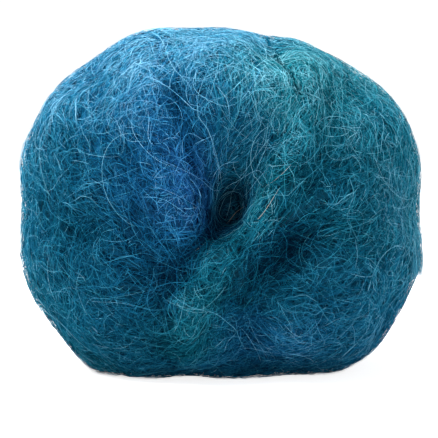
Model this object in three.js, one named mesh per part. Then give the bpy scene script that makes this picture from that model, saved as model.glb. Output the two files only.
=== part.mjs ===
import * as THREE from 'three';

// A ball of fluffy brushed yarn, wound by machine on a spindle, in millimetres with +Z up.
// The hollow that the spindle leaves runs along Y and is closed half way through.
// The face with the raised bundle looks to -Y, and the ball rests on a small flat spot at Z 0.
// The origin is the middle of the ball's outer box, at the bottom.

// driving dimensions
const ballHalfDepth = 42.5;
const hollowCentre = { x: 2.3, z: 49.4 };
const hollowFloorDepth = 15;
const hollowNeck = 3.4;
const lobeCount = 11;
const lobeHeight = 0.5;
const lobeTurns = 0.31;
const lobeFullReach = 40;
const unevenHeight = 0.4;

// mesh steps: points around the hollow, and rings from the front hollow's neck to its lip, over
// the front face to the rim, over the back face to its lip, and down to the back hollow's neck;
// a ring nearer to the axis than these reaches keeps every second or fourth point
const stepsAround = 96;
const stretchRings = { frontWall: 8, frontFace: 22, backFace: 12, backWall: 6 };
const halfStepsReach = 10;
const quarterStepsReach = 4.5;

// the ball's outline around the hollow: angle from +X towards +Z, reach from the hollow,
// and the share of that reach at which the front lip and the back lip stand highest
const outlineRows = [
  { angle: 0, reach: 56.5, frontLip: 0.145, backLip: 0.45 },
  { angle: 15, reach: 58.5, frontLip: 0.185, backLip: 0.44 },
  { angle: 30, reach: 58.5, frontLip: 0.280, backLip: 0.43 },
  { angle: 45, reach: 54.0, frontLip: 0.420, backLip: 0.43 },
  { angle: 60, reach: 53.5, frontLip: 0.560, backLip: 0.44 },
  { angle: 75, reach: 51.0, frontLip: 0.560, backLip: 0.46 },
  { angle: 90, reach: 52.5, frontLip: 0.530, backLip: 0.48 },
  { angle: 105, reach: 53.5, frontLip: 0.460, backLip: 0.49 },
  { angle: 120, reach: 57.5, frontLip: 0.330, backLip: 0.48 },
  { angle: 135, reach: 59.0, frontLip: 0.195, backLip: 0.46 },
  { angle: 150, reach: 62.0, frontLip: 0.155, backLip: 0.44 },
  { angle: 165, reach: 63.0, frontLip: 0.145, backLip: 0.43 },
  { angle: 180, reach: 61.5, frontLip: 0.145, backLip: 0.43 },
  { angle: 195, reach: 64.0, frontLip: 0.155, backLip: 0.44 },
  { angle: 210, reach: 63.5, frontLip: 0.185, backLip: 0.45 },
  { angle: 225, reach: 64.0, frontLip: 0.230, backLip: 0.46 },
  { angle: 240, reach: 60.5, frontLip: 0.260, backLip: 0.47 },
  { angle: 255, reach: 53.0, frontLip: 0.260, backLip: 0.47 },
  { angle: 270, reach: 54.0, frontLip: 0.215, backLip: 0.46 },
  { angle: 285, reach: 53.0, frontLip: 0.170, backLip: 0.45 },
  { angle: 300, reach: 59.0, frontLip: 0.140, backLip: 0.45 },
  { angle: 315, reach: 61.0, frontLip: 0.122, backLip: 0.46 },
  { angle: 330, reach: 60.5, frontLip: 0.120, backLip: 0.47 },
  { angle: 345, reach: 59.5, frontLip: 0.125, backLip: 0.46 },
];

// half a section: up the hollow's wall from its neck to the lip, where wall is the share of the
// way out from neck to lip, then over the face to the rim, where face is the share of what is
// left; depth is the share of the ball's half depth
const wallRows = [
  { wall: 0, depth: 0.353 },
  { wall: 0.06, depth: 0.5 },
  { wall: 0.14, depth: 0.64 },
  { wall: 0.28, depth: 0.77 },
  { wall: 0.5, depth: 0.89 },
  { wall: 0.75, depth: 0.967 },
];
const faceRows = [
  { face: 0, depth: 1 },
  { face: 0.24, depth: 0.975 },
  { face: 0.48, depth: 0.88 },
  { face: 0.69, depth: 0.725 },
  { face: 0.855, depth: 0.51 },
  { face: 0.96, depth: 0.265 },
];

// the bundle that lies over the front face, from the top right past the hollow to the foot
const bundleRows = [
  { x: 22.5, z: 88.0, height: 1.2, width: 4.2 },
  { x: 24.0, z: 80.0, height: 2.3, width: 5.0 },
  { x: 21.5, z: 71.0, height: 2.9, width: 5.2 },
  { x: 16.0, z: 59.5, height: 3.2, width: 5.2 },
  { x: 10.5, z: 51.5, height: 3.2, width: 5.0 },
  { x: 6.0, z: 45.5, height: 3.6, width: 5.0 },
  { x: -0.5, z: 37.5, height: 4.6, width: 5.2 },
  { x: -5.5, z: 27.5, height: 4.6, width: 5.2 },
  { x: -9.0, z: 18.0, height: 3.4, width: 5.2 },
  { x: -10.5, z: 11.0, height: 2.4, width: 5.6 },
];

// the seam between two runs of yarn at the top of the front face, pressed in
const seamRows = [
  { x: 11.5, z: 101.0, height: -1.6, width: 2.4 },
  { x: 14.0, z: 95.5, height: -2.2, width: 2.6 },
  { x: 17.5, z: 88.5, height: -1.8, width: 2.6 },
  { x: 20.5, z: 83.0, height: -0.8, width: 2.4 },
];

// the shoulder of yarn that stands up on the right of the seam, where it goes over the top
const shoulderRows = [
  { x: 18.5, z: 102.0, height: 0.9, width: 3.0 },
  { x: 23.0, z: 97.0, height: 0.6, width: 3.2 },
];

// swells and dips of the front face, each an oval with its long side turned by lean degrees
const swellRows = [
  { x: -12.5, z: 57.0, height: 3.8, across: 8.5, along: 17, lean: 112 },
  { x: 18.5, z: 38.5, height: -6.4, across: 5.8, along: 13, lean: 36 },
  { x: 30.0, z: 54.0, height: 2.6, across: 6.5, along: 16, lean: 45 },
  { x: 8.5, z: 18.0, height: -3.2, across: 5, along: 12, lean: 72 },
  { x: 9.0, z: 71.0, height: -2.8, across: 9, along: 14, lean: 75 },
  { x: 29.5, z: 73.0, height: -1.4, across: 4.5, along: 12, lean: 100 },
  { x: -6.5, z: 64.0, height: -1.4, across: 2.6, along: 16, lean: 104 },
  { x: -13.0, z: 81.0, height: -2.6, across: 4, along: 11, lean: 103 },
  { x: -41.0, z: 43.0, height: -1.8, across: 5.5, along: 13, lean: 150 },
  { x: -13.0, z: 33.0, height: -3, across: 5, along: 15, lean: 150 },
  { x: -33.0, z: 28.0, height: 1.6, across: 9, along: 18, lean: 150 },
  { x: 26.0, z: 20.0, height: 2, across: 9, along: 16, lean: 5 },
];

const sectionFineness = 16;
const fullTurn = 2 * Math.PI;
const degree = Math.PI / 180;

// a smooth value between the middle two of four neighbouring rows
function smoothBetween([before, start, end, after], share) {
  const startSlope = (end - before) / 2;
  const endSlope = (after - start) / 2;
  const bend = 3 * (end - start) - 2 * startSlope - endSlope;
  const twist = 2 * (start - end) + startSlope + endSlope;
  return start + share * (startSlope + share * (bend + share * twist));
}

// one column of the outline at any angle, closed all around
function outlineAt(column, angle) {
  const count = outlineRows.length;
  const place = THREE.MathUtils.euclideanModulo(angle / fullTurn, 1) * count;
  const row = Math.floor(place);
  const neighbours = [-1, 0, 1, 2].map((step) => outlineRows[(row + step + count) % count][column]);
  return smoothBetween(neighbours, place - row);
}

// points of half a section, as reach from the axis and depth along it, towards one side
function halfSection(reach, lip, side) {
  const { lerp } = THREE.MathUtils;
  const wall = wallRows.map((row) => ({ out: lerp(hollowNeck, lip * reach, row.wall), depth: row.depth }));
  const face = faceRows.map((row) => ({ out: lerp(lip * reach, reach, row.face), depth: row.depth }));
  return [...wall, ...face].map((row) => new THREE.Vector3(row.out, side * row.depth * ballHalfDepth, 0));
}

// points along a section, evenly spaced within each of its four stretches
function spacedPoints(curve) {
  const lipRow = wallRows.length;
  const rimRow = lipRow + faceRows.length;
  const rows = [0, lipRow, rimRow, 2 * rimRow - lipRow, 2 * rimRow];
  curve.arcLengthDivisions = 2 * rimRow * sectionFineness;
  const lengths = curve.getLengths();
  const distances = [0];
  Object.values(stretchRings).forEach((count, stretch) => {
    const [start, end] = [rows[stretch], rows[stretch + 1]].map((row) => lengths[row * sectionFineness]);
    for (let ring = 1; ring <= count; ring += 1) {
      distances.push(THREE.MathUtils.lerp(start, end, ring / count));
    }
  });
  return distances.map((distance) => curve.getPoint(curve.getUtoTmapping(0, distance)));
}

// one section of the ball, from the front hollow's neck to the back hollow's neck
function sectionAt(angle) {
  const reach = outlineAt('reach', angle);
  const front = halfSection(reach, outlineAt('frontLip', angle), -1);
  const back = halfSection(reach, outlineAt('backLip', angle), 1).reverse();
  const rim = new THREE.Vector3(reach, 0, 0);
  return spacedPoints(new THREE.CatmullRomCurve3([...front, rim, ...back]));
}

function humpAt(distance, width) {
  return Math.exp(-((distance / width) ** 2));
}

// height over the face of a raised or pressed-in run, with its rows blended along it
function runHeight(rows, x, z) {
  let nearest = Infinity;
  let raised = 0;
  for (let row = 0; row < rows.length - 1; row += 1) {
    const start = rows[row];
    const end = rows[row + 1];
    const run = new THREE.Vector2(end.x - start.x, end.z - start.z);
    const offset = new THREE.Vector2(x - start.x, z - start.z);
    const share = THREE.MathUtils.clamp(offset.dot(run) / run.lengthSq(), 0, 1);
    const distance = offset.addScaledVector(run, -share).length();
    if (distance < nearest) {
      nearest = distance;
      const width = THREE.MathUtils.lerp(start.width, end.width, share);
      raised = THREE.MathUtils.lerp(start.height, end.height, share) * humpAt(distance, width);
    }
  }
  return raised;
}

function swellHeight(x, z) {
  return swellRows.reduce((sum, row) => {
    const cos = Math.cos(row.lean * degree);
    const sin = Math.sin(row.lean * degree);
    const along = (x - row.x) * cos + (z - row.z) * sin;
    const across = (z - row.z) * cos - (x - row.x) * sin;
    return sum + row.height * humpAt(along, row.along) * humpAt(across, row.across);
  }, 0);
}

function reachOf({ x, z }) {
  return Math.hypot(x - hollowCentre.x, z - hollowCentre.z);
}

// low lobes where two sets of bundles cross on their way from one hollow to the other
function lobeAt(point, angle) {
  const reach = reachOf(point);
  const swing = 2 * lobeTurns * Math.atan2(point.y, reach);
  const forward = Math.sin(lobeCount * (angle + swing));
  const backward = Math.sin((lobeCount - 2) * (angle - swing) + 1.3);
  return lobeHeight * Math.min(reach / lobeFullReach, 1) * (forward + 0.7 * backward);
}

function unevenAt({ x, y, z }) {
  const wide = Math.sin(x * 0.11 + z * 0.07) * Math.cos(y * 0.1 - z * 0.09);
  const close = Math.sin(x * 0.21 - y * 0.17 + 2) * Math.sin(z * 0.19 + 0.7);
  return unevenHeight * (wide + close);
}

// how far the bundle, the seam, its shoulder and the swells lift a point of the front face
function frontReliefAt({ x, y, z }) {
  const faceShare = THREE.MathUtils.smoothstep(-y, 4, 26);
  const seamShare = THREE.MathUtils.smoothstep(-y, -2, 14);
  const shoulderShare = THREE.MathUtils.smoothstep(-y, -12, 6);
  const face = faceShare * (runHeight(bundleRows, x, z) + swellHeight(x, z));
  return face + seamShare * runHeight(seamRows, x, z) + shoulderShare * runHeight(shoulderRows, x, z);
}

// the front relief lifts straight forward near the hollow, and square to the face further out
function raisedPoint(point, outward, angle) {
  const straightShare = 1 - THREE.MathUtils.smoothstep(reachOf(point), 12, 30);
  const frontway = outward.clone().lerp(new THREE.Vector3(0, -1, 0), straightShare);
  const raised = point.clone().addScaledVector(frontway, frontReliefAt(point));
  return raised.addScaledVector(outward, lobeAt(point, angle) + unevenAt(point));
}

function plainRings() {
  const angles = Array.from({ length: stepsAround }, (unused, step) => fullTurn * step / stepsAround);
  const sections = angles.map((angle) => sectionAt(angle));
  return sections[0].map((unused, ring) => sections.map((section, step) => {
    const { x: out, y: depth } = section[ring];
    const across = out * Math.cos(angles[step]);
    const up = out * Math.sin(angles[step]);
    return new THREE.Vector3(hollowCentre.x + across, depth, hollowCentre.z + up);
  }));
}

// the plain rings with their relief, pressed flat where the ball rests
function reliefRings() {
  const rings = plainRings();
  const last = rings.length - 1;
  return rings.map((ring, row) => ring.map((point, step) => {
    const before = ring[(step + stepsAround - 1) % stepsAround];
    const after = ring[(step + 1) % stepsAround];
    const along = rings[Math.min(row + 1, last)][step].clone().sub(rings[Math.max(row - 1, 0)][step]);
    const outward = along.cross(after.clone().sub(before)).normalize();
    const raised = raisedPoint(point, outward, fullTurn * step / stepsAround);
    raised.z = Math.max(raised.z, 0);
    return raised;
  }));
}

// the share of a ring's points that it needs near the axis, as a stride
function strideOf(ring) {
  const reach = ring.reduce((sum, point) => sum + reachOf(point), 0) / ring.length;
  if (reach > halfStepsReach) {
    return 1;
  }
  return reach > quarterStepsReach ? 2 : 4;
}

// triangles between two rings of vertex numbers, where one may hold twice the other's count
function joinRings(lower, upper) {
  const lowerIsFine = lower.length >= upper.length;
  const [fine, coarse] = lowerIsFine ? [lower, upper] : [upper, lower];
  const ratio = fine.length / coarse.length;
  const middle = Math.floor(ratio / 2);
  const triangles = [];
  coarse.forEach((corner, index) => {
    const nextCorner = coarse[(index + 1) % coarse.length];
    for (let step = 0; step < ratio; step += 1) {
      const here = fine[index * ratio + step];
      const there = fine[(index * ratio + step + 1) % fine.length];
      triangles.push([there, here, step < middle ? corner : nextCorner]);
    }
    triangles.push([nextCorner, fine[index * ratio + middle], corner]);
  });
  return triangles.flatMap(([a, b, c]) => (lowerIsFine ? [a, b, c] : [b, a, c]));
}

// a fan of triangles from a hollow's floor point to the ring around it
function hollowFloor(ring, floor, facesFront) {
  return ring.flatMap((here, index) => {
    const there = ring[(index + 1) % ring.length];
    return facesFront ? [floor, here, there] : [floor, there, here];
  });
}

function woundGeometry() {
  const positions = [];
  const addPoint = (x, y, z) => {
    positions.push(x, y, z);
    return positions.length / 3 - 1;
  };
  const rings = reliefRings().map((ring) => {
    const stride = strideOf(ring);
    return ring.filter((point, step) => step % stride === 0).map(({ x, y, z }) => addPoint(x, y, z));
  });
  const triangles = rings.slice(1).flatMap((ring, row) => joinRings(rings[row], ring));
  const frontFloor = addPoint(hollowCentre.x, -hollowFloorDepth, hollowCentre.z);
  const backFloor = addPoint(hollowCentre.x, hollowFloorDepth, hollowCentre.z);
  triangles.push(...hollowFloor(rings[0], frontFloor, true));
  triangles.push(...hollowFloor(rings[rings.length - 1], backFloor, false));

  const geometry = new THREE.BufferGeometry();
  geometry.setAttribute('position', new THREE.Float32BufferAttribute(positions, 3));
  geometry.setIndex(triangles);
  geometry.computeBoundingBox();
  const middle = geometry.boundingBox.getCenter(new THREE.Vector3());
  geometry.translate(-middle.x, -middle.y, 0);
  geometry.computeVertexNormals();
  return geometry;
}

function yarnBall() {
  const material = new THREE.MeshStandardMaterial({ color: '#14607f', roughness: 0.95, metalness: 0 });
  const mesh = new THREE.Mesh(woundGeometry(), material);
  mesh.name = 'yarn_ball';
  return mesh;
}

const part = new THREE.Group();
part.add(yarnBall());

export default part;
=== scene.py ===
import math

import bpy
import numpy as np
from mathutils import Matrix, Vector
from mathutils.bvhtree import BVHTree


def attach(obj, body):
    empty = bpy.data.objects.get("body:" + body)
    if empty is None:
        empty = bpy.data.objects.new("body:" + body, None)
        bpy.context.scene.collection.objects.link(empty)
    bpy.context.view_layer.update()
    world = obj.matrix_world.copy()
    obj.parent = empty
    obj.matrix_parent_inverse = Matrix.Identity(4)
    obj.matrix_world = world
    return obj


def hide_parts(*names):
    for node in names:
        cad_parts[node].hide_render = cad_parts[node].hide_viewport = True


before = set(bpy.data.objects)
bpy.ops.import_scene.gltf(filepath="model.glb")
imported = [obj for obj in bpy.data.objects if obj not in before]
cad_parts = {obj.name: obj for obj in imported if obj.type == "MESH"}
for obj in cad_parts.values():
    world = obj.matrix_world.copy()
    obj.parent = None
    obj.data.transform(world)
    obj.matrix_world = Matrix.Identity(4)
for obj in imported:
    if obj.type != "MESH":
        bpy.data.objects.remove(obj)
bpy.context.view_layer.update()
print("frame loaded")

mm = 0.001
hollow = {"x": 2.3 * mm, "z": 49.4 * mm}  # the axis of the hollow that the spindle leaves, along Y


# Camera and light

camera = {
    "lens": 135.0,
    "sensor": 36.0,
    "elevation": 4.0,
    "clip": (0.01, 20.0),
    "frameWidth": 129.6 * mm,  # what the picture's width spans at the ball
    "aim": (-0.5 * mm, 0.0, 45.2 * mm),
}


def placeCamera(settings):
    data = bpy.data.cameras.new("studioCamera")
    data.lens = settings["lens"]
    data.sensor_width = settings["sensor"]
    data.clip_start, data.clip_end = settings["clip"]
    camObject = bpy.data.objects.new("studioCamera", data)
    bpy.context.scene.collection.objects.link(camObject)
    distance = settings["frameWidth"] * settings["lens"] / settings["sensor"]
    lift = math.radians(settings["elevation"])
    back = Vector((0.0, -math.cos(lift), math.sin(lift)))
    camObject.location = Vector(settings["aim"]) + back * distance
    camObject.rotation_mode = "QUATERNION"
    camObject.rotation_quaternion = (-back).to_track_quat("-Z", "Y")
    bpy.context.scene.camera = camObject
    return camObject


softLights = [  # name, place, size, watts, colour
    ("keyLight", (-0.45, -0.35, 0.75), 0.45, 11.0, (1.0, 0.99, 0.97)),
    ("topLight", (-0.05, 0.1, 0.8), 0.6, 14.0, (1.0, 1.0, 1.0)),
    ("sideLight", (0.7, -0.35, 0.35), 0.6, 1.5, (0.96, 0.98, 1.0)),
    ("frontLight", (0.05, -0.9, 0.2), 0.5, 2.0, (1.0, 1.0, 1.0)),
]
lightTarget = (0.0, 0.0, 50 * mm)


def placeLights(rows, target):
    for name, place, size, watts, colour in rows:
        data = bpy.data.lights.new(name, "AREA")
        data.shape = "DISK"
        data.size = size
        data.energy = watts
        data.color = colour
        lamp = bpy.data.objects.new(name, data)
        lamp.location = place
        aim = Vector(target) - Vector(place)
        lamp.rotation_mode = "QUATERNION"
        lamp.rotation_quaternion = aim.to_track_quat("-Z", "Y")
        bpy.context.scene.collection.objects.link(lamp)


# Shader sockets with arithmetic

def setStops(elements, stops):
    while len(elements) < len(stops):
        elements.new(0.5)
    for element, (place, colour) in zip(elements, stops):
        element.position = place
        element.color = (*colour, 1.0)


class Wire:
    def __init__(self, tree, socket):
        self.tree = tree
        self.socket = socket

    def node(self, kind, settings=None, inputs=None, output=0):
        made = self.tree.nodes.new(kind)
        for key, value in (settings or {}).items():
            if key == "stops":
                setStops(made.color_ramp.elements, value)
            else:
                setattr(made, key, value)
        for key, value in (inputs or {}).items():
            self.feed(made.inputs[key], value)
        return Wire(self.tree, made.outputs[output])

    def feed(self, socket, value):
        if isinstance(value, Wire):
            self.tree.links.new(value.socket, socket)
        else:
            socket.default_value = value

    def maths(self, operation, first, second=0.0):
        return self.node("ShaderNodeMath", {"operation": operation}, {0: first, 1: second})

    def __add__(self, other):
        return self.maths("ADD", self, other)

    __radd__ = __add__

    def __sub__(self, other):
        return self.maths("SUBTRACT", self, other)

    def __rsub__(self, other):
        return self.maths("SUBTRACT", other, self)

    def __mul__(self, other):
        return self.maths("MULTIPLY", self, other)

    __rmul__ = __mul__

    def clamped(self):
        return self.node("ShaderNodeClamp", {}, {"Value": self})

    def blended(self, first, second):
        inputs = {0: self, 6: first, 7: second}  # a Mix node's factor and two colours
        return self.node("ShaderNodeMix", {"data_type": "RGBA"}, inputs, output=2)

    def ramp(self, stops):
        return self.node("ShaderNodeValToRGB", {"stops": stops}, {0: self})


def newMaterial(name):
    material = bpy.data.materials.new(name)
    material.use_nodes = True
    tree = material.node_tree
    shader = tree.nodes["Principled BSDF"]
    return material, shader, Wire(tree, None)


def mapParts(start, mapName):  # hue and light, the two directions of a map of dye and painted shade
    dyeMap = start.node("ShaderNodeUVMap", {"uv_map": mapName})
    hue = start.node("ShaderNodeSeparateXYZ", {}, {0: dyeMap})
    return hue, Wire(hue.tree, hue.socket.node.outputs[1])


# The yarn's dye and painted shade: hue runs from green teal at 0 to royal blue at 1, light from the
# painted shade deep in the ball at 0 to the palest fibre at 1. Every piece looks its colour up in a map of
# these two.
# The four rows below stand at light 0, 0.5, 0.75 and 1, and each gives a colour for four hues.

yarnDyeAndShade = {
    "deep": [
        (0.0, (0.0004, 0.010, 0.014)),
        (0.4, (0.0004, 0.008, 0.018)),
        (0.75, (0.0006, 0.007, 0.026)),
        (1.0, (0.0010, 0.006, 0.030)),
    ],
    "middle": [
        (0.0, (0.004, 0.125, 0.150)),
        (0.4, (0.004, 0.098, 0.165)),
        (0.75, (0.007, 0.095, 0.245)),
        (1.0, (0.012, 0.080, 0.280)),
    ],
    "light": [
        (0.0, (0.026, 0.270, 0.320)),
        (0.4, (0.030, 0.255, 0.370)),
        (0.75, (0.040, 0.245, 0.450)),
        (1.0, (0.055, 0.225, 0.480)),
    ],
    "pale": [
        (0.0, (0.180, 0.480, 0.550)),
        (0.4, (0.190, 0.480, 0.630)),
        (0.75, (0.210, 0.470, 0.730)),
        (1.0, (0.240, 0.440, 0.750)),
    ],
}


def dyeAndShadeColour(hue, light):
    colour = (light * 2.0).clamped().blended(hue.ramp(yarnDyeAndShade["deep"]), hue.ramp(yarnDyeAndShade["middle"]))
    colour = (light * 4.0 - 2.0).clamped().blended(colour, hue.ramp(yarnDyeAndShade["light"]))
    return (light * 4.0 - 3.0).clamped().blended(colour, hue.ramp(yarnDyeAndShade["pale"]))


dyedFibre = {"name": "brushed_fibre", "roughness": 0.9, "specular": 0.0}
undyedFibre = {
    "name": "undyed_fibre",
    "roughness": 0.9,
    "shades": [(0.0, (0.08, 0.10, 0.10)), (1.0, (0.42, 0.44, 0.40))],
}


def fibreMaterial(settings):
    material, shader, start = newMaterial(settings["name"])
    hue, light = mapParts(start, "OFBake")
    start.feed(shader.inputs["Base Color"], dyeAndShadeColour(hue, light))
    shader.inputs["Roughness"].default_value = settings["roughness"]
    shader.inputs["Specular IOR Level"].default_value = settings["specular"]
    return material


def undyedMaterial(settings):
    material, shader, start = newMaterial(settings["name"])
    light = mapParts(start, "OFBake")[1]
    start.feed(shader.inputs["Base Color"], light.ramp(settings["shades"]))
    shader.inputs["Roughness"].default_value = settings["roughness"]
    return material


# Colour runs of the yarn, light partly painted light and shade (lit top, dark by the hollow), in mm: x, y,
# z, hue, light, reach
colourAndShadeRuns = [
    (-23.0, -32, 94.0, 0.55, 0.86, 11),
    (-12.0, -30, 97.0, 0.55, 0.84, 10),
    (-33.0, -36, 80.5, 0.60, 0.67, 12),
    (-17.0, -38, 80.5, 0.80, 0.46, 10),
    (-1.0, -38, 89.0, 0.48, 0.52, 9),
    (-6.5, -38, 83.0, 0.60, 0.42, 6),
    (-6.5, -36, 73.0, 0.62, 0.34, 7),
    (9.5, -38, 88.5, 0.30, 0.86, 9),
    (4.0, -38, 76.0, 0.55, 0.54, 9),
    (8.5, -34, 70.0, 0.48, 0.58, 7),
    (5.0, -30, 62.0, 0.46, 0.58, 6),
    (21.5, -36, 92.5, 0.08, 0.66, 10),
    (35.0, -36, 83.0, 0.22, 0.60, 12),
    (47.0, -26, 72.0, 0.36, 0.50, 12),
    (30.0, -40, 73.0, 0.38, 0.56, 10),
    (14.5, -40, 82.0, 0.24, 0.66, 6),
    (22.0, -40, 75.0, 0.22, 0.50, 6),
    (-11.0, -40, 62.5, 0.90, 0.46, 9),
    (-7.5, -40, 53.0, 0.88, 0.45, 7),
    (-19.0, -40, 51.0, 0.74, 0.35, 10),
    (-21.0, -40, 60.0, 0.70, 0.33, 7),
    (-30.0, -40, 66.5, 0.62, 0.43, 11),
    (-43.5, -30, 66.5, 0.50, 0.48, 11),
    (-49.0, -22, 45.0, 0.48, 0.44, 12),
    (-35.5, -38, 42.5, 0.50, 0.35, 11),
    (-19.0, -38, 35.0, 0.60, 0.30, 10),
    (-28.0, -36, 28.0, 0.52, 0.36, 8),
    (-33.0, -34, 18.0, 0.50, 0.36, 12),
    (-43.5, -24, 20.5, 0.45, 0.46, 11),
    (-17.0, -34, 17.0, 0.44, 0.24, 7),
    (16.5, -40, 61.0, 0.26, 0.36, 5),
    (11.0, -40, 52.5, 0.28, 0.50, 4.5),
    (6.5, -40, 46.5, 0.32, 0.54, 4.5),
    (0.5, -42, 40.0, 0.34, 0.46, 4.5),
    (-2.5, -42, 33.5, 0.32, 0.45, 4.5),
    (-5.5, -42, 27.5, 0.28, 0.47, 5),
    (-9.0, -40, 18.0, 0.27, 0.46, 5),
    (-10.5, -36, 11.0, 0.30, 0.36, 6),
    (-8.0, -38, 37.0, 0.55, 0.12, 5),
    (6.0, -38, 30.0, 0.44, 0.26, 6),
    (-1.0, -36, 12.0, 0.40, 0.32, 6),
    (9.5, -36, 12.0, 0.72, 0.47, 9),
    (23.0, -36, 11.0, 0.68, 0.50, 8),
    (35.0, -34, 17.0, 0.55, 0.42, 10),
    (46.0, -24, 27.0, 0.48, 0.54, 11),
    (32.0, -38, 33.0, 0.50, 0.39, 10),
    (17.0, -38, 23.0, 0.46, 0.30, 8),
    (20.5, -38, 40.5, 0.50, 0.20, 7),
    (12.0, -40, 37.0, 0.50, 0.17, 5),
    (37.5, -38, 45.0, 0.40, 0.43, 11),
    (49.0, -22, 48.0, 0.42, 0.66, 11),
    (31.0, -40, 57.0, 0.44, 0.36, 9),
    (22.5, -40, 55.0, 0.42, 0.38, 7),
    (2.5, -30, 51.0, 0.60, 0.40, 5),
    (-40.0, 0, 88.0, 0.58, 0.72, 16),
    (0.0, 0, 101.0, 0.50, 0.80, 16),
    (34.0, 0, 90.0, 0.20, 0.72, 16),
    (56.0, 0, 70.0, 0.30, 0.58, 12),
    (57.0, -4, 50.0, 0.34, 0.72, 13),
    (57.0, -4, 33.0, 0.42, 0.64, 10),
    (44.0, 0, 12.0, 0.58, 0.44, 16),
    (0.0, 0, 1.0, 0.55, 0.36, 18),
    (-44.0, 0, 12.0, 0.40, 0.46, 16),
    (-53.0, -4, 28.0, 0.42, 0.60, 10),
    (-58.0, 0, 50.0, 0.46, 0.60, 14),
    (-54.0, 0, 70.0, 0.50, 0.62, 12),
    (-26.0, 38, 76.0, 0.30, 0.50, 18),
    (22.0, 38, 78.0, 0.74, 0.50, 18),
    (38.0, 36, 44.0, 0.50, 0.46, 16),
    (12.0, 38, 22.0, 0.16, 0.42, 16),
    (-26.0, 38, 24.0, 0.82, 0.42, 16),
    (-42.0, 34, 50.0, 0.42, 0.46, 16),
]


def colourAndShadeAt(points):
    rows = np.array(colourAndShadeRuns)
    away = points[:, None, :] / mm - rows[None, :, :3]
    share = np.exp(-(away ** 2).sum(2) / rows[None, :, 5] ** 2) + 1e-9
    share /= share.sum(1, keepdims=True)
    return share @ rows[:, 3], share @ rows[:, 4]


# Painted shade on the front face, darker ovals over its dips and valleys where shade falls, each
# with its long side turned by lean degrees, in mm: x, z, across, along, lean, tone
paintedShadeForms = [
    (-4.7, 51.5, 1.8, 6.0, 97, -0.16),
    (-7.0, 62.5, 1.8, 6.5, 107, -0.14),
    (-10.5, 75.0, 2.0, 8.0, 105, -0.12),
    (-4.0, 42.5, 1.7, 6.0, 30, -0.18),
    (-13.0, 34.0, 1.8, 8.0, 62, -0.10),
    (-14.0, 81.5, 2.4, 4.0, 100, -0.14),
    (-40.5, 43.0, 3.0, 4.5, 140, -0.12),
    (-41.0, 61.5, 2.6, 4.0, 120, -0.12),
    (26.0, 71.0, 2.2, 4.0, 110, -0.12),
    (-14.0, 28.5, 2.0, 4.0, 60, -0.10),
    (-13.0, 11.0, 3.0, 6.0, 10, -0.10),
    (7.5, 14.0, 2.4, 5.0, 80, -0.10),
    (17.5, 40.0, 2.6, 8.0, 36, -0.10),
]
shadeFormFade = 20  # mm in front of the middle where the painted shade reaches its full tone


def paintedShadeOfForms(points):
    tone = np.zeros(len(points))
    for x, z, across, along, lean, change in paintedShadeForms:
        cos, sin = math.cos(math.radians(lean)), math.sin(math.radians(lean))
        right, up = points[:, 0] / mm - x, points[:, 2] / mm - z
        reach = ((right * cos + up * sin) / along) ** 2 + ((up * cos - right * sin) / across) ** 2
        tone += change * np.exp(-reach)
    return tone * np.clip(-points[:, 1] / mm / shadeFormFade, 0, 1)


# The wound core, worked out from the frame's own solid

core = {
    "inset": 2.6 * mm,
    "floorGap": 0.6 * mm,
    "shadedLightShare": 0.4,  # painted shade: how light it is against the fluff over it, darker for lying under it
    "grainScale": 900.0,
    "grainDetail": 4.0,
    "grainLight": 0.2,
    "roughness": 0.95,
    "specular": 0.1,
}
reliefReach = 7.0 * mm  # a place stands out when it is higher than what lies this far around it
weldGrid = 0.01 * mm


def coreMaterial(settings):
    material, shader, start = newMaterial("core_yarn")
    hue, light = mapParts(start, "colourRun")
    place = start.node("ShaderNodeTexCoord", {}, {}, output=3)
    fineness = {"Vector": place, "Scale": settings["grainScale"], "Detail": settings["grainDetail"]}
    grain = start.node("ShaderNodeTexNoise", {}, fineness)
    shade = light + grain * settings["grainLight"] - settings["grainLight"] / 2
    start.feed(shader.inputs["Base Color"], dyeAndShadeColour(hue, shade))
    shader.inputs["Roughness"].default_value = settings["roughness"]
    shader.inputs["Specular IOR Level"].default_value = settings["specular"]
    return material


def takeSolid(node):
    mesh = node.data
    coords = np.empty(len(mesh.vertices) * 3)
    mesh.vertices.foreach_get("co", coords)
    mesh.calc_loop_triangles()
    corners = np.empty(len(mesh.loop_triangles) * 3, int)
    mesh.loop_triangles.foreach_get("vertices", corners)
    keys = np.round(coords.reshape(-1, 3) / weldGrid).astype(int)
    first, merged = np.unique(keys, axis=0, return_index=True, return_inverse=True)[1:]
    points = coords.reshape(-1, 3)[first]
    faces = merged.reshape(-1)[corners].reshape(-1, 3)
    whole = (faces[:, 0] != faces[:, 1]) & (faces[:, 1] != faces[:, 2]) & (faces[:, 0] != faces[:, 2])
    return points, faces[whole]


def faceNormals(points, faces):  # twice as long as the face's area
    a, b, c = (points[faces[:, corner]] for corner in range(3))
    return np.cross(b - a, c - a)


def pointNormals(points, faces):
    normals = np.zeros_like(points)
    for corner in range(3):
        np.add.at(normals, faces[:, corner], faceNormals(points, faces))
    return normals / np.maximum(np.linalg.norm(normals, axis=1, keepdims=True), 1e-12)


def standingOut(points, normals, reach):  # height over the weighted middle of what lies around
    height = np.empty(len(points))
    for block in np.array_split(np.arange(len(points)), 12):  # a part at a time, for the memory
        away = ((points[block, None] - points[None]) ** 2).sum(2)
        share = np.exp(-away / reach ** 2)
        middle = share @ points / share.sum(1, keepdims=True)
        height[block] = ((points[block] - middle) * normals[block]).sum(1)
    return height - np.median(height)


density = {  # how much closer the fibres lie on the front face and near the foot, and under it
    "front": 0.45, "frontFade": 30 * mm,
    "foot": 0.7, "footHeight": 26 * mm,
    "under": -0.6, "underHeight": 1.2 * mm,
}


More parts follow.
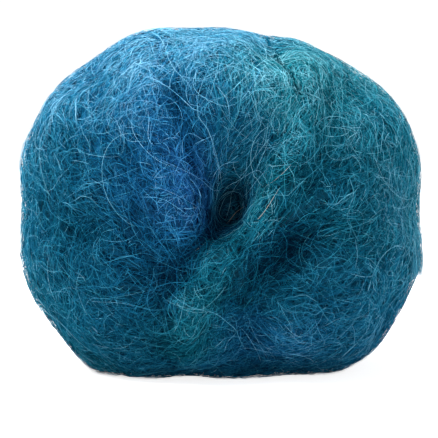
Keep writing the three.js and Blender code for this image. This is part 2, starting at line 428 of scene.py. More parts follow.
class Surface:
    def __init__(self, points, faces):
        self.points = points
        self.faces = faces
        self.normals = pointNormals(points, faces)
        self.relief = standingOut(points, self.normals, reliefReach)
        self.tree = BVHTree.FromPolygons(points.tolist(), faces.tolist())
        self.areas = np.linalg.norm(faceNormals(points, faces), axis=1) / 2

    def nearest(self, places):
        found = np.empty((len(places), 3))
        index = np.empty(len(places), int)
        for row, place in enumerate(places.tolist()):
            spot, normal, face, distance = self.tree.find_nearest(place)
            found[row] = spot
            index[row] = face
        return found, self.smoothNormals(found, index)

    def smoothNormals(self, places, index):
        a, b, c = (self.points[self.faces[index, corner]] for corner in range(3))
        full = np.cross(b - a, c - a)
        size = np.maximum((full * full).sum(1), 1e-24)
        shareA = (np.cross(b - places, c - places) * full).sum(1) / size
        shareB = (np.cross(c - places, a - places) * full).sum(1) / size
        shares = (shareA, shareB, 1 - shareA - shareB)
        corners = (self.normals[self.faces[index, corner]] for corner in range(3))
        normals = sum(normal * share[:, None] for normal, share in zip(corners, shares))
        return normals / np.linalg.norm(normals, axis=1, keepdims=True)

    def reliefAt(self, places):
        height = np.empty(len(places))
        for row, place in enumerate(places.tolist()):
            spot, normal, face, distance = self.tree.find_nearest(place)
            height[row] = self.relief[self.faces[face]].mean()
        return height

    def scatter(self, count, rng):
        middles = self.points[self.faces].mean(1)
        front = density["front"] * np.clip(-middles[:, 1] / density["frontFade"], 0, 1)
        foot = density["foot"] * np.clip(1 - middles[:, 2] / density["footHeight"], 0, 1)
        foot = np.where(middles[:, 2] < density["underHeight"], density["under"], foot)
        chance = self.areas * (1 + front) * (1 + foot)
        index = rng.choice(len(self.faces), count, p=chance / chance.sum())
        first, second = rng.random(count), rng.random(count)
        folded = first + second > 1
        first[folded], second[folded] = 1 - first[folded], 1 - second[folded]
        a, b, c = (self.points[self.faces[index, corner]] for corner in range(3))
        places = a + (b - a) * first[:, None] + (c - a) * second[:, None]
        return places, self.smoothNormals(places, index)


# The lay of the yarn: the winding from hollow to hollow, and the front face's own leans

windingLean = math.radians(34)  # off the straight way from hollow to hollow
leanReach = 9.0  # mm over which one lean fades into the next
frontFrom, frontFull = 4.0, 24.0  # mm in front of the middle, where leans set in and hold alone
fluffTop = 2.75 * mm  # how far over the core the fluff reaches
fluffSoftness = 0.2 * mm
leastLift = 0.1 * mm
eddyWaves = [  # radians for each mm along x, y, z, phase, and how far the lay swings
    (0.21, 0.17, 0.13, 0.0, 0.15),
    (-0.15, -0.11, 0.19, 1.7, 0.15),
    (0.47, 0.31, -0.36, 0.6, 0.18),
    (0.39, -0.28, 0.41, 2.9, 0.18),
]

# Lean of the fibres on the front face, in mm and degrees from +X towards +Z: x, z, lean
frontLeans = [
    (-6, 95, 95), (1, 86, 100), (-14, 79, 97), (-4, 72, 92), (-33, 91, 45),
    (-25, 80, 62), (-44, 67, 128), (-48, 59, 114), (-30, 59, 145), (-19, 48, 135),
    (-27, 37, 152), (-19, 29, 176), (-44, 29, 135), (-33, 18, 172), (-25, 12, 14),
    (-16, 10, 12), (-11, 56, 128), (-15, 64, 148), (-7, 60, 112), (5, 67, 55),
    (11, 78, 52), (16, 72, 46), (8, 59, 36), (30, 88, 130), (16, 91, 128),
    (40, 80, 138), (48, 67, 110), (53, 48, 90), (17, 59, 46), (11, 52, 55),
    (4, 43, 50), (-5, 29, 64), (-9, 17, 74), (19, 48, 50), (21, 42, 44),
    (30, 42, 24), (35, 44, 20), (24, 34, 22), (19, 29, 30), (30, 29, 6),
    (21, 18, 170), (35, 18, 158), (11, 15, 150), (43, 31, 118), (49, 26, 72),
    (38, 12, 36), (5, 7, 2), (-11, 6, 1), (32, 59, 30), (28, 74, 120),
]


def unit(vectors):
    return vectors / np.maximum(np.linalg.norm(vectors, axis=1, keepdims=True), 1e-9)


def flattened(vectors, normals):
    return unit(vectors - normals * (vectors * normals).sum(1, keepdims=True))


def turned(vectors, normals, angles):
    cos, sin = np.cos(angles)[:, None], np.sin(angles)[:, None]
    return vectors * cos + np.cross(normals, vectors) * sin


def held(lift):  # eased so that nothing rises over the fluff's top
    over = (fluffTop - lift) / fluffSoftness
    return np.maximum(fluffTop - fluffSoftness * np.log1p(np.exp(np.clip(over, -30, 30))), leastLift)


def eddies(places):
    swing = np.zeros(len(places))
    for x, y, z, phase, strength in eddyWaves:
        swing += strength * np.sin(places @ (x, y, z) / mm + phase)
    return swing


def yarnLay(places, normals, family):
    radial = np.stack([places[:, 0] - hollow["x"], np.zeros(len(places)), places[:, 2] - hollow["z"]], 1)
    around = flattened(np.cross([0.0, 1.0, 0.0], radial), normals)
    across = np.cross(normals, around)
    winding = turned(across, normals, family * windingLean)
    rows = np.array(frontLeans, float)
    away = (places[:, None, [0, 2]] / mm - rows[None, :, :2])
    share = np.exp(-(away ** 2).sum(2) / leanReach ** 2) + 1e-9
    share /= share.sum(1, keepdims=True)
    doubled = np.radians(rows[:, 2]) * 2
    lean = np.arctan2(share @ np.sin(doubled), share @ np.cos(doubled)) / 2
    guided = np.stack([np.cos(lean), np.zeros(len(lean)), np.sin(lean)], 1)
    guided = flattened(guided, normals)
    guided *= np.sign((guided * winding).sum(1, keepdims=True) + 1e-9)
    front = np.clip((-places[:, 1] / mm - frontFrom) / (frontFull - frontFrom), 0, 1)[:, None]
    return flattened(winding * (1 - front) + guided * front, normals)


# Fibres as joined meshes: flat ribbons where they have two sides, round yarn where they have more

fibreHueSpread = 0.04
fibreGrain = 0.05  # how much a fibre's light wavers along it
flatRoll = 0.3  # radians that a flat fibre is rolled off the surface
dyeStep = 0.01  # the width of a face on the dye map
dyeRange = (0.02, 0.97)


def fibreMesh(name, line, width, light, sides, rng, flat=False):
    count, points = line.shape[:2]
    steps = points - 1
    tangents = np.gradient(line, axis=1)
    tangents /= np.maximum(np.linalg.norm(tangents, axis=2, keepdims=True), 1e-9)
    middle = np.array([hollow["x"], 0, hollow["z"]])
    outward = line - middle
    outward /= np.linalg.norm(outward, axis=2, keepdims=True)
    sideways = np.cross(tangents, outward)
    sideways /= np.maximum(np.linalg.norm(sideways, axis=2, keepdims=True), 1e-9)
    upward = np.cross(sideways, tangents)
    roll = rng.normal(0, flatRoll, count) if flat else rng.uniform(0, 2 * math.pi, count)
    roll = roll[:, None, None]
    taper = np.sqrt(np.sin(math.pi * np.linspace(0.0, 1.0, points)))
    half = (width / 2)[:, None, None] * taper[None, :, None]
    rings = []
    for side in range(sides):
        angle = roll + 2 * math.pi * side / sides
        rings.append(line + half * (np.cos(angle) * sideways + np.sin(angle) * upward))
    inner = np.stack(rings, 2)[:, 1:-1]  # count, steps - 1, sides, 3
    ends = line[:, [0, -1]]
    perFibre = 2 + (steps - 1) * sides
    vertices = np.concatenate([ends.reshape(count, 2, 3), inner.reshape(count, -1, 3)], 1).reshape(-1, 3)

    # faces of one fibre, then of all
    walls = range(sides) if sides > 2 else range(1)
    quads = []
    tips = []
    for side in walls:
        other = (side + 1) % sides
        tips.append((0, 2 + other, 2 + side, 0))
        last = 2 + (steps - 2) * sides
        tips.append((1, last + side, last + other, steps - 1))
        for step in range(steps - 2):
            lower, upper = 2 + step * sides, 2 + (step + 1) * sides
            quads.append((lower + side, lower + other, upper + other, upper + side, step + 1))
    tips, quads = np.array(tips), np.array(quads)
    offset = (np.arange(count) * perFibre)[:, None, None]
    tipFaces = (tips[None, :, :3] + offset).reshape(-1, 3)
    quadFaces = (quads[None, :, :4] + offset).reshape(-1, 4)

    mesh = bpy.data.meshes.new(name)
    mesh.vertices.add(len(vertices))
    mesh.vertices.foreach_set("co", vertices.reshape(-1))
    loops = np.concatenate([tipFaces.reshape(-1), quadFaces.reshape(-1)])
    mesh.loops.add(len(loops))
    mesh.loops.foreach_set("vertex_index", loops)
    sizes = np.concatenate([np.full(len(tipFaces), 3), np.full(len(quadFaces), 4)])
    starts = np.concatenate([[0], np.cumsum(sizes)[:-1]])
    mesh.polygons.add(len(sizes))
    mesh.polygons.foreach_set("loop_start", starts)
    mesh.polygons.foreach_set("use_smooth", np.ones(len(sizes), bool))

    # each corner's place in the map of dye and painted shade
    # the run's light carries painted light and shade as well as the yarn's own tone
    hue, ground = colourAndShadeAt(line[:, steps // 2])
    hue = np.clip(hue + rng.normal(0, fibreHueSpread, count), *dyeRange)
    tone = ground + light
    grain = rng.normal(0, fibreGrain, (count, points))
    # painted shade of the front face's dips, added to each fibre's random waver
    grain += paintedShadeOfForms(line.reshape(-1, 3)).reshape(count, points)
    tipHue = np.repeat(hue[:, None], len(tips), 1)
    tipTone = np.clip(tone[:, None] + grain[:, tips[:, 3]], *dyeRange)
    tipU = np.stack([tipHue, tipHue + dyeStep, tipHue], 2)
    tipV = np.stack([tipTone, tipTone + dyeStep, tipTone + dyeStep], 2)
    quadHue = np.repeat(hue[:, None], len(quads), 1)
    quadTone = np.clip(tone[:, None] + grain[:, quads[:, 4]], *dyeRange)
    quadU = np.stack([quadHue, quadHue + dyeStep, quadHue + dyeStep, quadHue], 2)
    quadV = np.stack([quadTone, quadTone, quadTone + dyeStep, quadTone + dyeStep], 2)
    u = np.concatenate([tipU.reshape(-1), quadU.reshape(-1)])
    v = np.concatenate([tipV.reshape(-1), quadV.reshape(-1)])
    dyeMap = mesh.uv_layers.new(name="OFBake")
    dyeMap.data.foreach_set("uv", np.stack([u, v], 1).reshape(-1))
    mesh.validate()
    mesh.update()
    return mesh


def addPiece(name, mesh, material):
    piece = bpy.data.objects.new(name, mesh)
    bpy.context.scene.collection.objects.link(piece)
    piece.data.materials.append(material)
    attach(piece, "root")
    return piece


# The turns of yarn, traced along the lay in two layers

turns = {
    "layers": [
        # each layer's tone is painted shade, the lower layer darker for lying deeper
        {"count": 216, "lift": 0.2 * mm, "tone": -0.1},
        {"count": 144, "lift": 0.9 * mm, "tone": -0.04},
    ],
    "batch": 24,
    "candidates": 500,
    "steps": 18,
    "stride": 3.6 * mm,
    "hold": 0.45,  # how much of its own heading a turn keeps at each step
    "veer": 9.0,  # degrees that a turn may lie off the lay
    "radius": (0.6 * mm, 0.95 * mm),
    "sides": 3,
    "endDip": 1.6 * mm,
    "toneSpread": 0.06,
    "dipShare": 0.08,  # the share of a turn over which each end dips
    "sway": 0.12 * mm,
    "under": -0.2,  # painted shade: how much darker they are for lying under the fluff
    "seed": 5,
}


def spacedSeeds(surface, taken, settings, rng):
    places, normals = surface.scatter(settings["candidates"], rng)
    if len(taken):
        room = np.full(len(places), np.inf)
        for block in np.array_split(taken, max(1, len(taken) // 2000)):  # for the memory too
            away = ((places[:, None] - block[None]) ** 2).sum(2).min(1)
            room = np.minimum(room, away)
    else:
        room = np.full(len(places), 1.0)
    chosen = []
    for number in range(settings["batch"]):
        best = int(np.argmax(room))
        chosen.append(best)
        room = np.minimum(room, ((places - places[best]) ** 2).sum(1))
    return places[chosen], normals[chosen]


def traceTurns(surface, settings, rng):
    half = settings["steps"] // 2
    lines, ups, layerIndex = [], [], []
    for number, layer in enumerate(settings["layers"]):
        taken = np.empty((0, 3))
        for batch in range(layer["count"] // settings["batch"]):
            seeds, seedNormals = spacedSeeds(surface, taken, settings, rng)
            family = rng.choice([-1.0, 1.0], len(seeds))
            veer = rng.normal(0, math.radians(settings["veer"]), len(seeds))
            line = np.empty((len(seeds), 2 * half + 1, 3))
            up = np.empty_like(line)
            for way in (-1, 1):
                places, normals = seeds, seedNormals
                heading = turned(yarnLay(places, normals, family) * way, normals, veer)
                for step in range(half + 1):
                    line[:, half + way * step] = places
                    up[:, half + way * step] = normals
                    places, normals = surface.nearest(places + heading * settings["stride"])
                    lay = turned(yarnLay(places, normals, family), normals, veer)
                    lay *= np.sign((lay * heading).sum(1, keepdims=True) + 1e-9)
                    heading = flattened(lay * (1 - settings["hold"]) + heading * settings["hold"], normals)
            taken = np.concatenate([taken, line.reshape(-1, 3)])
            lines.append(line)
            ups.append(up)
            layerIndex.append(np.full(len(seeds), number))
    return np.concatenate(lines), np.concatenate(ups), np.concatenate(layerIndex)


def liftTurns(line, up, layerIndex, settings, rng):
    count, points = line.shape[:2]
    lift = np.array([layer["lift"] for layer in settings["layers"]])[layerIndex]
    share = np.linspace(0, 1, points)
    dip = np.clip(np.minimum(share, 1 - share) / settings["dipShare"], 0, 1)
    sway = np.cumsum(rng.normal(0, settings["sway"], (count, points)), 1)
    sway -= sway.mean(1, keepdims=True)
    total = lift[:, None] + sway - settings["endDip"] * (1 - dip)[None, :]
    return line + up * total[:, :, None]


# The fluff: wisps of fibres that share a path over the ball, each fibre with its own curl

# Each layer's tone is painted light and shade: the deeper layers darker, the top layer lighter.
wispLayers = [  # share is how much of its wisp's path a fibre runs along
    {
        "name": "deep_wisps", "wisps": 3000, "fibres": 5, "steps": 5, "path": (8 * mm, 14 * mm),
        "share": (0.45, 1.0), "stray": 12, "crossing": 0.08, "bend": 0.7, "spread": 0.7 * mm, "splay": 0.7,
        "lift": (0.3 * mm, 1.4 * mm), "thick": 0.25 * mm, "curl": 0.14 * mm, "curlLength": 6 * mm,
        "width": (0.15 * mm, 0.26 * mm), "tone": -0.12, "wispTone": 0.04, "fibreTone": 0.11, "seed": 31,
    },
    {
        "name": "mid_wisps_a", "wisps": 5250, "fibres": 4, "steps": 5, "path": (6 * mm, 12 * mm),
        "share": (0.4, 1.0), "stray": 13, "crossing": 0.1, "bend": 0.9, "spread": 0.7 * mm, "splay": 0.8,
        "lift": (0.9 * mm, 2.0 * mm), "thick": 0.3 * mm, "curl": 0.14 * mm, "curlLength": 6 * mm,
        "width": (0.11 * mm, 0.20 * mm), "tone": -0.05, "wispTone": 0.04, "fibreTone": 0.12, "seed": 32,
    },
    {
        "name": "mid_wisps_b", "wisps": 3750, "fibres": 4, "steps": 6, "path": (7 * mm, 15 * mm),
        "share": (0.4, 1.0), "stray": 15, "crossing": 0.13, "bend": 1.1, "spread": 0.75 * mm, "splay": 0.9,
        "lift": (1.4 * mm, 2.3 * mm), "thick": 0.35 * mm, "curl": 0.17 * mm, "curlLength": 6 * mm,
        "width": (0.09 * mm, 0.17 * mm), "tone": 0.0, "wispTone": 0.04, "fibreTone": 0.12, "seed": 33,
    },
    {
        "name": "mid_wisps_c", "wisps": 5250, "fibres": 4, "steps": 5, "path": (5 * mm, 10 * mm),
        "share": (0.4, 1.0), "stray": 18, "crossing": 0.16, "bend": 1.2, "spread": 0.8 * mm, "splay": 1.0,
        "lift": (1.7 * mm, 2.6 * mm), "thick": 0.35 * mm, "curl": 0.2 * mm, "curlLength": 6 * mm,
        "width": (0.08 * mm, 0.14 * mm), "tone": 0.02, "wispTone": 0.03, "fibreTone": 0.13, "seed": 35,
    },
    {
        "name": "top_wisps", "wisps": 4500, "fibres": 2, "steps": 7, "path": (8 * mm, 20 * mm),
        "share": (0.5, 1.0), "stray": 35, "crossing": 0.25, "bend": 1.5, "spread": 0.9 * mm, "splay": 1.1,
        "lift": (2.0 * mm, 3.0 * mm), "thick": 0.4 * mm, "curl": 0.3 * mm, "curlLength": 8 * mm,
        "width": (0.06 * mm, 0.10 * mm), "tone": 0.10, "wispTone": 0.03, "fibreTone": 0.13, "seed": 34,
    },
]
darkShare, darkTone = 0.14, -0.18  # the share of fibres that stay deep, and by how much
paleShare, paleTone = 0.08, 0.20  # the share that brushing has left pale
paintedReliefShade = 0.10 / mm  # painted light and shade: how much lighter a wisp is for each millimetre that it stands out, darker where it lies lower
wispSteps = 10
crossingAngles = (40, 140)  # degrees off the lay, for a wisp that crosses it
wispWave = 0.9  # how much a wisp's bend comes and goes along it
curlBeats = (0.6, 1.5)
curlRise = 0.5  # how high a curl stands against how wide it is
wispFloor = 0.15 * mm
napFloor = 0.1 * mm


def wispPaths(surface, settings, rng):
    count, steps = settings["wisps"], wispSteps
    places, normals = surface.scatter(count, rng)
    family = rng.choice([-1.0, 1.0], count)
    heading = yarnLay(places, normals, family)
    crosses = rng.random(count) < settings["crossing"]
    crossing = np.where(crosses, rng.uniform(*crossingAngles, count), 0.0)
    stray = np.radians(rng.normal(0, settings["stray"], count) + crossing) + eddies(places)
    heading = turned(heading, normals, stray)
    low, high = settings["path"]
    length = rng.uniform(low, high, count)
    bend = rng.normal(0, settings["bend"], count)
    wave = rng.normal(0, wispWave, count)
    phase = rng.uniform(0, 2 * math.pi, count)
    line = np.empty((count, steps + 1, 3))
    up = np.empty((count, steps + 1, 3))
    side = np.empty((count, steps + 1, 3))
    for step in range(steps + 1):
        line[:, step] = places
        up[:, step] = normals
        side[:, step] = np.cross(heading, normals)
        if step == steps:
            break
        swing = (bend + wave * np.cos(2 * math.pi * step / steps + phase)) / steps
        heading = turned(heading, normals, swing)
        places, normals = surface.nearest(places + heading * (length / steps)[:, None])
        heading = flattened(heading, normals)
    return line, up, side, length


def fibresOnWisps(surface, settings, rng):
    guide, up, side, length = wispPaths(surface, settings, rng)
    wisps, rows = guide.shape[:2]
    owner = np.repeat(np.arange(wisps), settings["fibres"])
    count, steps = len(owner), settings["steps"]
    share = rng.uniform(*settings["share"], count)
    begin = rng.random(count) * (1 - share)
    across = rng.normal(0, settings["spread"], count)
    lean = rng.normal(0, settings["splay"], count) * settings["spread"]
    above = np.repeat(rng.uniform(*settings["lift"], wisps), settings["fibres"])
    above = above + rng.normal(0, settings["thick"], count)
    arch = rng.normal(0, settings["thick"], count)
    curl = np.abs(rng.normal(0, settings["curl"], (2, count)))
    beat = share * length[owner] / settings["curlLength"] * rng.uniform(*curlBeats, (2, count))
    phase = rng.uniform(0, 2 * math.pi, (2, count))
    path = np.empty((count, steps + 1, 3))
    for step in range(steps + 1):
        part = step / steps
        place = (begin + share * part) * (rows - 1)
        row = np.minimum(place.astype(int), rows - 2)
        rest = (place - row)[:, None]
        centre = guide[owner, row] * (1 - rest) + guide[owner, row + 1] * rest
        top = unit(up[owner, row] * (1 - rest) + up[owner, row + 1] * rest)
        sideways = unit(side[owner, row] * (1 - rest) + side[owner, row + 1] * rest)
        shift = across + lean * (part - 0.5) * 2 + curl[0] * np.sin(2 * math.pi * beat[0] * part + phase[0])
        raised = above + arch * math.sin(math.pi * part)
        raised = raised + curlRise * curl[1] * np.sin(2 * math.pi * beat[1] * part + phase[1])
        path[:, step] = centre + sideways * shift[:, None] + top * held(raised)[:, None]
    path[:, :, 2] = np.maximum(path[:, :, 2], wispFloor)
    return path, owner, surface.reliefAt(guide[:, rows // 2])[owner]


# Short fibres that stand off the ball and thicken into a haze along its outline; their light tone is partly
# the paler fine fibres and partly painted light, the glow of fibres lit from behind

nap = {
    "name": "standing_nap", "count": 16000, "steps": 4, "length": (2.2 * mm, 5.0 * mm),
    "root": (1.0 * mm, 2.2 * mm), "tilt": (35, 80), "droop": 0.8, "turn": 1.2,
    "width": (0.06 * mm, 0.10 * mm), "tone": 0.12, "fibreTone": 0.16, "seed": 41,
}


def napPaths(surface, settings, rng):
    count, steps = settings["count"], settings["steps"]
    places, normals = surface.scatter(count, rng)
    aside = flattened(rng.normal(0, 1, (count, 3)), normals)
    across = np.cross(normals, aside)
    tilt = np.radians(rng.uniform(*settings["tilt"], count))
    length = rng.uniform(*settings["length"], count)
    root = rng.uniform(*settings["root"], count)
    turn = rng.normal(0, settings["turn"], count)
    path = np.empty((count, steps + 1, 3))
    out = np.zeros(count)
    shift = np.zeros((count, 3))
    for step in range(steps + 1):
        share = step / steps
        lean = tilt + settings["droop"] * share
        path[:, step] = places + shift + normals * held(root + out)[:, None]
        way = aside * np.cos(turn * share)[:, None] + across * np.sin(turn * share)[:, None]
        shift = shift + way * (np.sin(lean) * length / steps)[:, None]
        out = out + np.cos(lean) * length / steps
    path[:, :, 2] = np.maximum(path[:, :, 2], napFloor)
    return path, surface.reliefAt(places)


# Painted shadow in the gaps between wisps: short dark strokes laid over the fluff where the gaps lie in
# shade

shadowGaps = {
    "name": "dark_gaps", "count": 12000, "steps": 3, "length": (0.9 * mm, 2.6 * mm),
    "lift": (1.9 * mm, 2.7 * mm), "stray": 25, "width": (0.25 * mm, 0.5 * mm), "tone": -0.3,
    "fibreTone": 0.06, "seed": 61,
}


def shadowGapPaths(surface, settings, rng):
    count, steps = settings["count"], settings["steps"]
    places, normals = surface.scatter(count, rng)
    heading = yarnLay(places, normals, rng.choice([-1.0, 1.0], count))
    stray = np.radians(rng.normal(0, settings["stray"], count)) + eddies(places)
    heading = turned(heading, normals, stray)
    length = rng.uniform(*settings["length"], count)
    lift = held(rng.uniform(*settings["lift"], count))
    share = np.linspace(-0.5, 0.5, steps + 1)
    along = heading[:, None] * (length[:, None] * share)[:, :, None]
    return places[:, None] + normals[:, None] * lift[:, None, None] + along


# Long loose hairs that lie anywhere on the ball

shortHairs = {
    "name": "pale_hairs", "count": 2400, "steps": 8, "length": (7 * mm, 18 * mm),
    "lift": (2.6 * mm, 3.0 * mm), "bend": 1.6, "wave": 1.4, "width": (0.05 * mm, 0.08 * mm),
    "beats": (0.6, 1.8), "tone": 0.24, "fibreTone": 0.1, "seed": 52,
}
looseHairs = {
    "name": "loose_hairs", "count": 150, "steps": 14, "length": (16 * mm, 42 * mm),
    "lift": (2.8 * mm, 3.2 * mm), "bend": 1.7, "wave": 1.6, "width": (0.06 * mm, 0.09 * mm),
    "beats": (0.6, 1.8), "tone": 0.32, "fibreTone": 0.1, "seed": 57,
}


def looseHairPaths(surface, settings, rng):
    count, steps = settings["count"], settings["steps"]
    places, normals = surface.scatter(count, rng)
    heading = flattened(rng.normal(0, 1, (count, 3)), normals)
    stride = rng.uniform(*settings["length"], count) / steps
    lift = rng.uniform(*settings["lift"], count)
    bend = rng.normal(0, settings["bend"], count)
    wave = rng.normal(0, settings["wave"], count)
    beat = rng.uniform(*settings["beats"], count)
    phase = rng.uniform(0, 2 * math.pi, count)
    path = np.empty((count, steps + 1, 3))
    for step in range(steps + 1):
        path[:, step] = places + normals * lift[:, None]
        swing = (bend + wave * np.cos(2 * math.pi * beat * step / steps + phase)) / steps
        heading = turned(heading, normals, swing)
        places, normals = surface.nearest(places + heading * stride[:, None])
        heading = flattened(heading, normals)
    path[:, :, 2] = np.maximum(path[:, :, 2], napFloor)
    return path


# Stray hairs that catch the eye on the front face, each as points in mm: x, z
frontHairs = [
    [(-44.0, 24.0), (-31.0, 25.5), (-19.5, 23.0), (-14.5, 23.5)],
    [(-33.5, 35.0), (-27.5, 37.0), (-21.5, 38.5)],
    [(-18.5, 29.0), (-13.0, 30.5), (-6.0, 30.5)],
    [(-22.0, 54.0), (-15.5, 53.5), (-8.5, 49.0)],
    [(-42.5, 30.5), (-38.0, 28.0), (-33.5, 26.5)],
    [(-25.5, 12.0), (-21.5, 7.5), (-16.0, 10.0), (-12.0, 16.0)],
    [(-18.0, 18.5), (-18.0, 10.5), (-18.5, 5.5)],
    [(14.5, 47.5), (18.0, 42.0), (18.0, 37.5), (20.0, 35.0), (27.0, 33.5)],
    [(7.5, 37.0), (12.5, 37.5), (17.5, 37.0)],
    [(7.5, 36.5), (9.5, 34.5), (9.0, 31.0), (4.0, 30.0)],
    [(2.5, 18.5), (6.0, 16.5), (10.0, 10.0), (11.5, 5.5)],
    [(34.0, 70.5), (36.5, 66.5), (42.5, 65.5), (47.5, 67.0)],
    [(29.5, 67.0), (26.5, 62.0), (22.5, 58.5), (18.5, 53.5)],
]

# hairs curled into a ring on the front face, in mm: x, z, half width, half height
frontRings = [
    (-11.5, 23.0, 3.0, 3.0),
    (24.0, 76.0, 3.0, 3.5),
    (31.0, 73.0, 5.0, 2.8),
]

# undyed hairs that lie over the ridge by the hollow, each as points in mm: x, z
greyHairs = [
    [(-7.0, 39.5), (-2.5, 42.5), (2.0, 45.5), (5.0, 49.0), (11.0, 53.5)],
    [(0.0, 39.5), (4.0, 44.0), (8.0, 49.0), (13.0, 54.5)],
    [(-4.5, 36.5), (-2.5, 41.0), (1.0, 43.0), (5.0, 45.5)],
    [(10.0, 55.5), (14.5, 58.5), (19.0, 63.0)],
    [(2.5, 43.0), (7.0, 45.5), (11.5, 50.0), (16.0, 57.0)],
]
frontHairSettings = {
    "name": "front_hairs", "width": (0.09 * mm, 0.13 * mm), "tone": 0.34, "fibreTone": 0.05, "seed": 81,
}
greyHairSettings = {
    "name": "grey_hairs", "width": (0.09 * mm, 0.13 * mm), "tone": 0.1, "fibreTone": 0.1, "seed": 82,
}
frontHairSteps = 14
frontHairLift = 2.9 * mm
ringTurn = (0.4, 6.4)  # radians from a ring's start to its end
hairTightenings = 6  # how often a hair is drawn straight over the dips
castFrom = -80 * mm  # well in front of the ball


def smoothRoute(stops, steps):
    rows = np.array([stops[0], *stops, stops[-1]], float)
    route = []
    for place in np.linspace(0, len(stops) - 1, steps + 1):
        row = min(int(place), len(stops) - 2)
        share = place - row
        before, start, end, after = rows[row:row + 4]
        slopeIn, slopeOut = (end - before) / 2, (after - start) / 2
        bend = 3 * (end - start) - 2 * slopeIn - slopeOut
        twist = 2 * (start - end) + slopeIn + slopeOut
        route.append(start + share * (slopeIn + share * (bend + share * twist)))
    return np.array(route)


def laidOnFront(surface, route, lift):
    line = []
    for x, z in route * mm:
        spot, normal, face, distance = surface.tree.ray_cast((x, castFrom, z), (0, 1, 0))
        line.append(np.array(spot) + np.array([0, -lift, 0]))
    return np.array(line)


def ringRoutes(steps):
    angle = np.linspace(*ringTurn, steps + 1)
    return [np.stack([x + halfWidth * np.cos(angle), z + halfHeight * np.sin(angle)], 1)
            for x, z, halfWidth, halfHeight in frontRings]


def frontHairPaths(surface, routes):
    paths = []
    for route in routes:
        line = laidOnFront(surface, route, frontHairLift)
        for tightening in range(hairTightenings):
            line[1:-1, 1] = np.minimum(line[1:-1, 1], (line[:-2, 1] + line[2:, 1]) / 2)
        paths.append(line)
    return np.array(paths)


# The seam at the top of the front face, where dark strands paint the shade along it, in mm: x, y, z
seamRoute = [
    (12.0, 1, 99.5), (13.5, -10.5, 96.5), (15.0, -19, 93.5), (16.8, -29, 90.0), (19.0, -36, 87.0),
    (20.5, -39, 83.5), (21.5, -40, 81.0),
]
seamShadowStrands = {
    "name": "seam_strands", "count": 48, "steps": 10, "stops": 60, "spread": 0.28 * mm, "lift": 2.7 * mm,
    "begin": 0.8, "crowding": 1.4,  # the last start along the seam, and how they gather at its top
    # the low tone is painted shade along the seam
    "share": (0.15, 0.25), "width": (0.10 * mm, 0.20 * mm), "tone": -0.6, "fibreTone": 0.06, "seed": 71,
}


def seamPaths(surface, settings, rng):
    count, steps, rows = settings["count"], settings["steps"], settings["stops"]
    places, normals = surface.nearest(smoothRoute(seamRoute, rows) * mm)
    sideways = unit(np.cross(np.gradient(places, axis=0), normals))
    guide = np.concatenate([places + normals * settings["lift"], sideways], 1)
    begin = settings["begin"] * rng.random(count) ** settings["crowding"]
    share = rng.uniform(*settings["share"], count)
    across = rng.normal(0, settings["spread"], count)
    lean = rng.normal(0, settings["spread"], count)
    path = np.empty((count, steps + 1, 3))
    for step in range(steps + 1):
        place = np.clip(begin + share * step / steps, 0, 1) * rows
        spot = np.stack([np.interp(place, np.arange(rows + 1), column) for column in guide.T], 1)
        drift = across + lean * (step / steps - 0.5)
        path[:, step] = spot[:, :3] + spot[:, 3:] * drift[:, None]
    return path


# The tuft that brushing has pulled out of the right edge, combed down, with ragged tips

edgeTuft = {
    "name": "edge_tuft", "count": 420, "steps": 5, "x": 58.0 * mm, "y": (-18 * mm, 2 * mm),
    "z": (31.0 * mm, 39.0 * mm), "foot": 28.0 * mm, "raggedness": 0.7 * mm, "lift": (1.4 * mm, 2.8 * mm),
    "length": (4 * mm, 9 * mm), "flare": 1.9 * mm, "flareReach": 6 * mm, "curl": 0.25 * mm, "stray": 4,
    "width": (0.08 * mm, 0.14 * mm), "tone": 0.08, "fibreTone": 0.12, "seed": 91,
}


def tuftPaths(surface, settings, rng):
    count, steps = settings["count"], settings["steps"]
    height = rng.uniform(*settings["z"], count)
    roots = np.stack([np.full(count, settings["x"]), rng.uniform(*settings["y"], count), height], 1)
    end = settings["foot"] + np.abs(rng.normal(0, settings["raggedness"], count))
    reach = np.minimum(height - end, rng.uniform(*settings["length"], count))
    lift = rng.uniform(*settings["lift"], count)
    above = height - reach - settings["foot"]
    flare = settings["flare"] * np.clip(1 - above / settings["flareReach"], 0, 1)
    sideways = rng.normal(0, settings["curl"], (2, count))
    path = np.empty((count, steps + 1, 3))
    for step in range(steps + 1):
        share = step / steps
        drop = roots - np.outer(reach * share, (0, 0, 1))
        places, normals = surface.nearest(drop)
        path[:, step] = places + normals * (lift + flare * share)[:, None]
        path[:, step, 1] += sideways[0] + sideways[1] * settings["stray"] * share
    return path


# Making it

placeCamera(camera)
placeLights(softLights, lightTarget)
print("camera and lights placed")

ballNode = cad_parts["yarn_ball"]
solidPoints, solidFaces = takeSolid(ballNode)
normals = pointNormals(solidPoints, solidFaces)
corePoints = solidPoints - normals * core["inset"]
corePoints[:, 2] = np.maximum(corePoints[:, 2], core["floorGap"])
ball = Surface(corePoints, solidFaces)
coreMesh = bpy.data.meshes.new("wound_core")
coreMesh.from_pydata(corePoints.tolist(), [], solidFaces.tolist())
coreMesh.polygons.foreach_set("use_smooth", np.ones(len(solidFaces), bool))
# the run's light carries painted light and shade as well as the yarn's own tone
hue, light = colourAndShadeAt(corePoints)
runMap = coreMesh.uv_layers.new(name="colourRun")
loopPoints = np.empty(len(coreMesh.loops), int)
coreMesh.loops.foreach_get("vertex_index", loopPoints)
# the core's light is scaled down as painted shade under the fluff
runMap.data.foreach_set("uv", np.stack([hue, light * core["shadedLightShare"]], 1)[loopPoints].reshape(-1))

corePiece = addPiece("wound_core", coreMesh, coreMaterial(core))
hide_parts("yarn_ball")
print("core made")

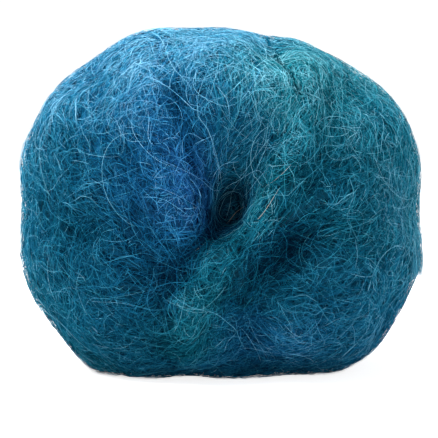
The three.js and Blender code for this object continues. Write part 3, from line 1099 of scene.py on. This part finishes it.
fibre = fibreMaterial(dyedFibre)
rng = np.random.default_rng(turns["seed"])
turnLines, turnUps, turnLayers = traceTurns(ball, turns, rng)
turnLines = liftTurns(turnLines, turnUps, turnLayers, turns, rng)
# painted shade: darker for the lower layer and for lying under the fluff
turnTone = np.array([layer["tone"] for layer in turns["layers"]])[turnLayers]
turnTone = turnTone + turns["under"] + rng.normal(0, turns["toneSpread"], len(turnTone))
turnWidth = rng.uniform(*turns["radius"], len(turnTone)) * 2
turnMesh = fibreMesh("yarn_turns", turnLines, turnWidth, turnTone, turns["sides"], rng)
addPiece("yarn_turns", turnMesh, fibre)
print("turns laid")
for layer in wispLayers:
    rng = np.random.default_rng(layer["seed"])
    line, owner, relief = fibresOnWisps(ball, layer, rng)
    width = rng.uniform(*layer["width"], len(line))
    kind = rng.random(len(line))
    # painted light and shade: each layer's tone by its depth, and how far the wisp stands out
    tone = layer["tone"] + rng.normal(0, layer["wispTone"], layer["wisps"])[owner]
    tone = tone + rng.normal(0, layer["fibreTone"], len(line)) + relief * paintedReliefShade
    tone = tone + darkTone * (kind < darkShare) + paleTone * (kind > 1 - paleShare)
    addPiece(layer["name"], fibreMesh(layer["name"], line, width, tone, 2, rng), fibre)
    print(layer["name"], "laid")


def addFibres(settings, line, rng, light=0.0, flat=True, material=fibre):
    width = rng.uniform(*settings["width"], len(line))
    tone = settings["tone"] + light + rng.normal(0, settings["fibreTone"], len(line))
    mesh = fibreMesh(settings["name"], line, width, tone, 2, rng, flat)
    addPiece(settings["name"], mesh, material)
    print(settings["name"], "laid")


rng = np.random.default_rng(nap["seed"])
napLines, napRelief = napPaths(ball, nap, rng)
# painted light and shade from how far each nap fibre's root stands out
addFibres(nap, napLines, rng, napRelief * paintedReliefShade, flat=False)

# the gap strokes and the seam strands among these are painted shade
for settings, paths in [
    (shadowGaps, shadowGapPaths), (edgeTuft, tuftPaths), (seamShadowStrands, seamPaths),
    (shortHairs, looseHairPaths), (looseHairs, looseHairPaths),
]:
    rng = np.random.default_rng(settings["seed"])
    addFibres(settings, paths(ball, settings, rng), rng)

rng = np.random.default_rng(frontHairSettings["seed"])
frontRoutes = [smoothRoute(stops, frontHairSteps) for stops in frontHairs] + ringRoutes(frontHairSteps)
addFibres(frontHairSettings, frontHairPaths(ball, frontRoutes), rng)

rng = np.random.default_rng(greyHairSettings["seed"])
greyRoutes = [smoothRoute(stops, frontHairSteps) for stops in greyHairs]
addFibres(greyHairSettings, frontHairPaths(ball, greyRoutes), rng, material=undyedMaterial(undyedFibre))


# Floor and backdrop

studio = {
    "floorSize": 6.0,
    "paint": (0.85, 0.85, 0.85, 1.0),
    "sky": (1.0, 1.0, 1.0, 1.0),
    "roughness": 0.9,
    "glow": ((0.05, 0.05, 0.05, 1.0), (0.8, 0.8, 0.8, 1.0)),  # on other things, and to the eye
    "backdrop": (0.24, 0.85),  # its light on the ball, and what the eye sees more
}


def makeStudio(settings):
    bpy.ops.mesh.primitive_plane_add(size=settings["floorSize"], location=(0, 0, 0))
    floor = bpy.context.object
    floor.name = "studio_floor"
    material, shader, start = newMaterial("studio_white")
    shader.inputs["Base Color"].default_value = settings["paint"]
    shader.inputs["Roughness"].default_value = settings["roughness"]
    seen = start.node("ShaderNodeLightPath")
    start.feed(shader.inputs["Emission Color"], seen.blended(*settings["glow"]))
    shader.inputs["Emission Strength"].default_value = 1.0
    floor.data.materials.append(material)
    world = bpy.data.worlds.new("studioWorld")
    bpy.context.scene.world = world
    world.use_nodes = True
    tree = world.node_tree
    start = Wire(tree, None)
    seen = start.node("ShaderNodeLightPath")
    shade = tree.nodes["Background"]
    shade.inputs["Color"].default_value = settings["sky"]
    plain, more = settings["backdrop"]
    start.feed(shade.inputs["Strength"], seen * more + plain)
    bpy.context.scene.view_settings.view_transform = "Standard"


makeStudio(studio)
print("studio made")
